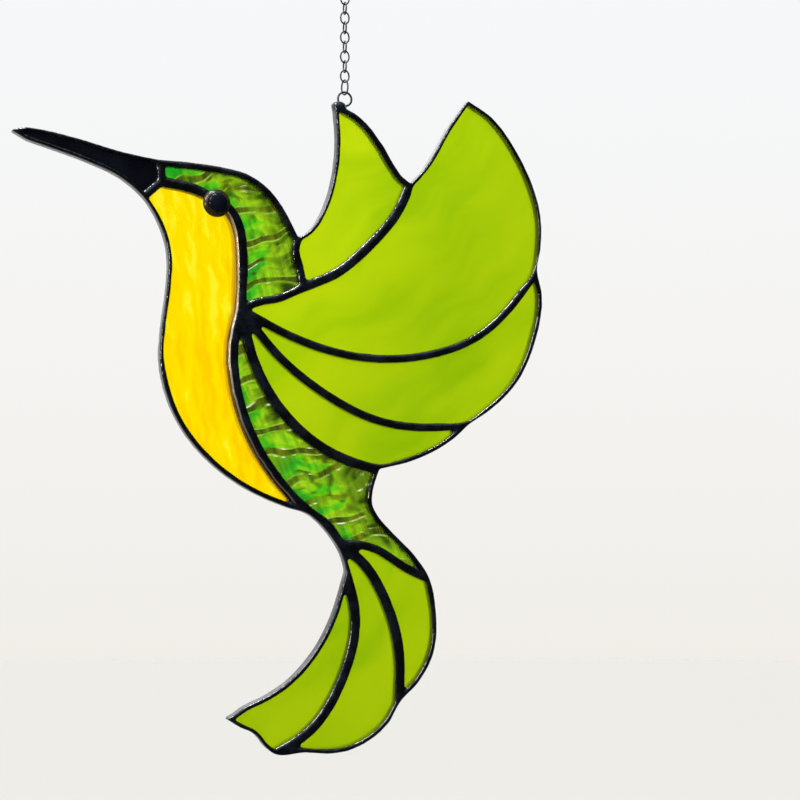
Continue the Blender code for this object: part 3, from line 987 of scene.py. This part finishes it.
    def pulled(self, points: ndarray, corners: list[ndarray]) -> ndarray:
        """Pull the network's outer walls back out to its tips.

        Args:
            points: The network's points.
            corners: The tips.

        Returns:
            The moved points.
        """
        tree = search_tree(points[np.abs(points[:, 1]) < self.wall][:, [0, 2]])
        moved = points.copy()
        for x, z in corners:
            found, _, distance = tree.find((x, 0.0, z))
            if distance > self.furthest:
                continue
            away = np.hypot(points[:, 0] - found.x, points[:, 2] - found.z)
            share = np.clip(1.0 - (away / self.pull) ** 2, 0.0, 1.0) ** 2
            moved[:, 0] += share * (x - found.x)
            moved[:, 2] += share * (z - found.z)
        return moved

    def beside(self, sheet: ndarray, points: ndarray) -> ndarray:
        """Tell how far each point lies beyond a sheet's right edge, where its foil shows.

        Args:
            sheet: The sheet's points.
            points: The network's points.

        Returns:
            The distances, and 1 where no foil shows.
        """
        _, right, lean = edges_beside(sheet, points)
        away = (points[:, 0] - right) / np.hypot(1.0, lean)
        shown = (points[:, 1] < 0.0) & (points[:, 2] < self.foil_top)
        return np.where(shown & (points[:, 2] > self.foil_foot), away, 1.0)

    def build(self, breast: Object) -> None:
        """Build the network.

        Args:
            breast: The sheet beside which a line of bare foil shows.
        """
        shape = self.filled()
        chains = self.edge_chains(shape)
        pairs = [self.curve_shifts(chain) for chain in chains]
        places = np.vstack([pair[0] for pair in pairs])
        shifts = np.vstack([pair[1] for pair in pairs])
        mesh = fine_mesh(self.node, shape, self.voxel)
        points = relaxed(mesh, rows_of(mesh.vertices), self.evening)
        points = self.on_curves(points, places, shifts)
        points = self.pulled(points, self.tips(max(chains, key=len)))
        set_places(mesh, points)
        normals = rows_of(mesh.vertex_normals, "vector")
        lumps = (uneven(points, self.broad_lump) * self.broad_height
                 + uneven(points, self.small_lump, 5.0) * self.small_height)
        facing = self.edge_share + (1.0 - self.edge_share) * np.abs(normals[:, 1])
        set_attribute(mesh, "foil", self.beside(rows_of(breast.data.vertices), points))
        set_places(mesh, points + normals * (lumps * facing)[:, None])
        add_piece("soldered_network", mesh, SOLDER.material(), (self.node,))

    def on_curves(self, points: ndarray, places: ndarray, shifts: ndarray) -> ndarray:
        """Move the network's points so that its straight runs follow smooth curves.

        Args:
            points: The network's points.
            places: Places on the straight runs.
            shifts: The way from each to its curve.

        Returns:
            The moved points.
        """
        tree = search_tree(places)
        moved = points.copy()
        for index, (x, _, z) in enumerate(points):
            found = tree.find_n((x, 0.0, z), self.neighbours)
            weights = np.array([1.0 / (distance**2 + self.softness) for _, _, distance in found])
            rows = [shifts[row] for _, row, _ in found]
            fade = max(0.0, 1.0 - found[0][2] / self.reach)
            shift = (weights[:, None] * rows).sum(axis=0) / weights.sum() * fade
            moved[index, 0] += shift[0]
            moved[index, 2] += shift[1]
        return moved


@dataclass
class RippleSheet:
    """A sheet of green ripple glass with rounded ridges across it."""

    node: str
    lean: float
    pitch: float
    seed: float
    height: float = 0.00022
    voxel: float = 0.0008
    bends: tuple[tuple[float, float], ...] = ((0.020, 0.0060), (0.007, 0.0014))
    lump: float = 0.0045
    lump_height: float = 0.0001
    back_share: float = 0.8
    first_ridge: float = 100.0

    def side(self, points: ndarray) -> ndarray:
        """Tell how far each point lies from the sheet's left edge (0) to its right edge (1)."""
        left, right, _ = edges_beside(points, points)
        return (points[:, 0] - left) / np.maximum(right - left, self.voxel)

    def build(self, material: Material) -> None:
        """Build the sheet.

        Args:
            material: The green glass, which reads where each point lies on the ridges.
        """
        mesh, points = fine_sheet(self.node, self.voxel)
        flat = points.copy()
        flat[:, 1] = 0.0
        across = -math.sin(self.lean) * flat[:, 0] + math.cos(self.lean) * flat[:, 2]
        along = math.cos(self.lean) * flat[:, 0] + math.sin(self.lean) * flat[:, 2]
        wander = sum(uneven(flat, size, self.seed) * height for size, height in self.bends)
        ridge = (across + wander) / self.pitch
        relief = (np.cos(2 * math.pi * ridge) * 0.5 * self.height
                  + uneven(flat, self.lump, self.seed) * self.lump_height)
        points[:, 1] += np.where(points[:, 1] < 0, -relief, relief * self.back_share)
        set_places(mesh, points)
        set_attribute(mesh, "ridge", ridge + self.first_ridge)
        set_attribute(mesh, "along", along)
        set_attribute(mesh, "side", self.side(flat))
        add_piece(self.node + "_glass", mesh, material, (self.node,))


@dataclass
class StreakySheet:
    """The breast's sheet of amber glass, with a soft wave in its faces."""

    node: str = "breast"
    voxel: float = 0.001
    height: float = 0.00014
    width: float = 0.0042
    upright: Triple = (1.0, 0.0, 0.22)
    seed: float = 2.0

    def build(self) -> Object:
        """Build the sheet.

        Returns:
            The finished piece.
        """
        mesh, points = fine_sheet(self.node, self.voxel)
        relief = uneven(points * np.array(self.upright), self.width, self.seed) * self.height
        points[:, 1] += np.where(points[:, 1] < 0, -relief, relief)
        set_places(mesh, points)
        _, right, lean = edges_beside(points, points)
        set_attribute(mesh, "edge", (right - points[:, 0]) / np.hypot(1.0, lean))
        return add_piece("breast_glass", mesh, AmberGlass().material(),
                         (self.node,))


@dataclass
class Feathers:
    """The wings' and tail's opalescent sheets and the black beak, which keep their solids."""

    lime: tuple[str, ...] = ("far_wing", "wing_feather_upper", "wing_feather_middle",
                             "wing_feather_lower", "tail_feather_left", "tail_feather_middle",
                             "tail_feather_right")
    black: tuple[str, ...] = ("beak",)

    def dress(self) -> None:
        """Give each sheet its finish."""
        lime = LimeGlass().material()
        black = BlackGlass().material()
        for names, material in ((self.lime, lime), (self.black, black)):
            for name in names:
                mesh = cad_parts[name].data
                mesh.materials.clear()
                mesh.materials.append(material)
                LOG.info("%s: keeps its sheet", name)


@dataclass
class Eye:
    """The eye: a blunt black glass dome in a rounded brown edge."""

    node: str = "eye"
    dome_radius: float = 0.0038
    edge_radius: float = 0.0050
    edge_height: float = 0.0024
    blunt: float = 0.45
    segments: int = 64
    rings: int = 24

    def profile(self, radius: float, height: float, power: float) -> list[Vector]:
        """Shape the outside of a dome.

        Args:
            radius: Its radius at the foot.
            height: Its height.
            power: How round it is, and below 1 it is blunt.

        Returns:
            Points from its top to its foot.
        """
        angles = [math.pi / 2 * i / self.rings for i in range(self.rings)]
        points = [Vector((radius * math.sin(a), 0.0, height * math.cos(a) ** power))
                  for a in angles]
        return points + [Vector((radius, 0.0, 0.0))]

    def turned(self, name: str, profile: list[Vector], centre: Vector) -> Mesh:
        """Spin a profile round the line of sight and set it on the bird.

        Args:
            name: The mesh's name.
            profile: Points in the plane of x and z, with the dome's axis along z.
            centre: The middle of its foot.

        Returns:
            The mesh.
        """
        shape = bmesh.new()
        corners = [shape.verts.new(point) for point in profile]
        edges = [shape.edges.new(pair) for pair in zip(corners, corners[1:])]
        bmesh.ops.spin(shape, geom=corners + edges, axis=(0, 0, 1), cent=(0, 0, 0),
                       angle=2 * math.pi, steps=self.segments, use_merge=True)
        bmesh.ops.remove_doubles(shape, verts=shape.verts, dist=WELD)
        bmesh.ops.holes_fill(shape, edges=open_edges(shape))
        turn = Matrix.Translation(centre) @ Matrix.Rotation(math.pi / 2, 4, "X")
        bmesh.ops.transform(shape, matrix=turn, verts=shape.verts)
        return finished_mesh(name, shape)

    def build(self) -> None:
        """Build the dome and its edge."""
        low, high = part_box(self.node)
        centre = Vector(((low.x + high.x) / 2, high.y, (low.z + high.z) / 2))
        height = high.y - low.y
        dome = self.turned("eye_dome", self.profile(self.dome_radius, height, self.blunt), centre)
        edge = self.turned("eye_edge", self.profile(self.edge_radius, self.edge_height, 1.0),
                           centre)
        black = BlackGlass("eye_glass", bend=1.17).material()
        add_piece("eye_dome", dome, black, (self.node,))
        add_piece("eye_edge", edge, SmokeGlass().material())


@dataclass
class WireLoop:
    """A closed loop of round wire: a round ring or an oval link."""

    node: str
    wire: float
    width: float
    turn: float = 0.0
    split: float = 0.0
    start: float = -0.9
    steps: int = 64
    section: int = 14

    def loop(self, length: float) -> BMesh:
        """Sweep the wire round the loop in the plane of x and z.

        Args:
            length: The loop's outside length along z.

        Returns:
            The closed shape.
        """
        radius = (self.width - self.wire) / 2
        stretch = (length - self.width) / 2
        shape = bmesh.new()
        bmesh.ops.create_circle(shape, cap_ends=False, segments=self.section, radius=self.wire / 2)
        bmesh.ops.translate(shape, vec=(radius, 0.0, 0.0), verts=shape.verts)
        bmesh.ops.rotate(shape, cent=(0, 0, 0), verts=shape.verts,
                         matrix=Matrix.Rotation(self.start, 3, "Y"))
        bmesh.ops.spin(shape, geom=list(shape.verts) + list(shape.edges), axis=(0, 1, 0),
                       cent=(0, 0, 0), angle=2 * math.pi - self.split, steps=self.steps,
                       use_merge=self.split == 0.0)
        if self.split:
            bmesh.ops.holes_fill(shape, edges=open_edges(shape))
        for point in shape.verts:
            point.co.z += stretch * math.sin(math.atan2(point.co.z, point.co.x))
        return shape

    def build(self, material: Material) -> None:
        """Build the loop in its solid's place.

        Args:
            material: The wire's finish.
        """
        low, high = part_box(self.node)
        shape = self.loop(high.z - low.z)
        place = Matrix.Translation((low + high) / 2) @ Matrix.Rotation(self.turn, 4, "Z")
        bmesh.ops.transform(shape, matrix=place, verts=shape.verts)
        add_piece(self.node + "_wire", finished_mesh(self.node, shape), material,
                  (self.node,))


@dataclass
class HangingParts:
    """The jump ring, the chain and the ring at its top."""

    ring_wire: float = 0.0008
    ring_width: float = 0.0060
    top_wire: float = 0.0012
    top_width: float = 0.0100
    top_split: float = 0.03
    links: int = 11
    link_wire: float = 0.0006
    link_width: float = 0.0038
    first_turn: float = math.radians(-63)

    def build(self) -> None:
        """Build every ring and link."""
        material = WIRE.material()
        WireLoop("hanging_ring", self.ring_wire, self.ring_width).build(material)
        WireLoop("top_ring", self.top_wire, self.top_width, split=self.top_split).build(material)
        for number in range(1, self.links + 1):
            turn = self.first_turn if number == 1 else math.pi / 2 * (number % 2)
            WireLoop(f"chain_link_{number:02d}", self.link_wire, self.link_width,
                     turn=turn).build(material)


# Studio


@dataclass
class Studio:
    """The camera, the pale surroundings and the lights."""

    aim: Triple = (0.02065, -0.0025, -0.16024)
    turn: float = math.radians(20)
    tilt: float = math.radians(2.6)
    distance: float = 0.6468
    lens: float = 79.47
    floor_height: float = -1.15
    floor_radius: float = 9.0
    floor_colour: Triple = (0.655, 0.62, 0.565)
    wall: tuple[tuple[float, Triple], ...] = (
        (0.0, (0.86, 0.825, 0.76)), (0.45, (0.90, 0.885, 0.86)), (1.0, (0.93, 0.94, 0.955)))
    lamps: tuple[tuple[str, Triple, float, float, Triple], ...] = (
        ("lamp_above", (-0.14, -0.38, 0.75), 0.09, 3.2, (1.0, 1.0, 1.0)),
        ("window_above", (-0.27, -0.09, 0.69), 0.30, 8.0, (1.0, 1.0, 1.0)),
        ("window_left", (-0.72, -0.22, 0.42), 0.42, 8.0, (1.0, 1.0, 1.0)),
        ("window_low", (-0.85, -0.25, -0.10), 0.15, 3.2, (1.0, 0.94, 0.84)))
    sky: float = 2.8
    dim: float = 0.035
    side_light: float = 1.1
    bright_side: Triple = (-0.40, -0.25, 0.88)
    front_tint: Triple = (0.72, 0.86, 1.0)
    back_tint: Triple = (1.0, 0.99, 0.975)

    def camera(self) -> None:
        """Set the camera at the photograph's angle."""
        data = bpy.data.cameras.new("camera")
        data.lens = self.lens
        data.sensor_width = 36.0
        data.clip_start = 0.01
        data.clip_end = 60.0
        item = new_object("camera", data)
        forward = Vector((math.sin(self.turn) * math.cos(self.tilt),
                          math.cos(self.turn) * math.cos(self.tilt), math.sin(self.tilt)))
        item.location = Vector(self.aim) - forward * self.distance
        item.rotation_euler = (math.pi / 2 + self.tilt, 0.0, -self.turn)
        bpy.context.scene.camera = item

    def floor(self) -> None:
        """Lay the pale floor far below the bird."""
        shape = bmesh.new()
        bmesh.ops.create_circle(shape, cap_ends=True, segments=96, radius=self.floor_radius)
        bmesh.ops.translate(shape, vec=(0.0, 0.0, self.floor_height), verts=shape.verts)
        mesh = finished_mesh("floor", shape)
        material, shader, surface, _ = new_material("pale_floor")
        shader.feed_all(surface, Base_Color=(*self.floor_colour, 1.0), Roughness=0.9)
        mesh.materials.append(material)
        item = new_object("floor", mesh)
        item.visible_glossy = False

    def light(self, name: str, place: Triple, size: float, power: float, colour: Triple) -> None:
        """Add a square light that faces the bird.

        Args:
            name: The light's name.
            place: Where it stands.
            size: The length of its side.
            power: Its power in watts.
            colour: Its colour.
        """
        data = bpy.data.lights.new(name, "AREA")
        data.shape = "SQUARE"
        data.size = size
        data.energy = power
        data.color = colour
        item = new_object(name, data)
        item.location = place
        way = Vector(self.aim) - Vector(place)
        item.rotation_euler = way.to_track_quat("-Z", "Y").to_euler()

    def world(self) -> None:
        """Surround the bird with pale light, dim where its front faces reflect it."""
        world = bpy.data.worlds.new("pale_room")
        bpy.context.scene.world = world
        world.use_nodes = True
        shader = Shader(world.node_tree)
        world.node_tree.nodes.clear()
        way = shader.add("TexCoord").outputs["Generated"]
        _, depth, height = shader.axes(way)
        path = shader.add("LightPath")
        behind = shader.math("MAXIMUM", shader.range(depth, -0.05, 0.40),
                             path.outputs["Is Transmission Ray"])
        sky = shader.range(height, 0.30, 0.44, 1.0, self.sky)
        ground = shader.range(height, -0.60, -0.05, 0.55, 1.0)
        back = shader.math("MULTIPLY", shader.math("MULTIPLY", sky, ground), behind)
        side = shader.add("VectorMath", {"operation": "DOT_PRODUCT"}, way, self.bright_side)
        front = shader.range(side.outputs["Value"], 0.40, 0.90, self.dim, self.side_light)
        strength = shader.math("MAXIMUM", back, front)
        seen = shader.ramp(shader.range(height, -0.30, 0.35), self.wall)
        lamp = shader.add("Background", Strength=strength,
                          Color=shader.mix(behind, self.front_tint, self.back_tint))
        wall = shader.add("Background", Color=seen, Strength=1.0)
        both = shader.add("MixShader", {}, path.outputs["Is Camera Ray"], lamp.outputs[0],
                          wall.outputs[0])
        shader.add("OutputWorld", Surface=both.outputs[0])

    def build(self) -> None:
        """Build the whole studio."""
        self.camera()
        self.floor()
        self.world()
        for lamp in self.lamps:
            self.light(*lamp)
        bpy.context.scene.view_settings.view_transform = "Standard"


def main() -> None:
    """Build and dress the suncatcher and its studio."""
    logging.basicConfig(level=logging.INFO, format="%(message)s")
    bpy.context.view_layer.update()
    breast = StreakySheet().build()
    SolderNetwork().build(breast)
    green = GreenGlass().material()
    RippleSheet("head_nape", lean=math.radians(16), pitch=0.0088, seed=1.0).build(green)
    RippleSheet("back_body", lean=math.radians(22), pitch=0.0105, seed=4.0).build(green)
    Feathers().dress()
    Eye().build()
    HangingParts().build()
    Studio().build()


if __name__ == "__main__":
    main()
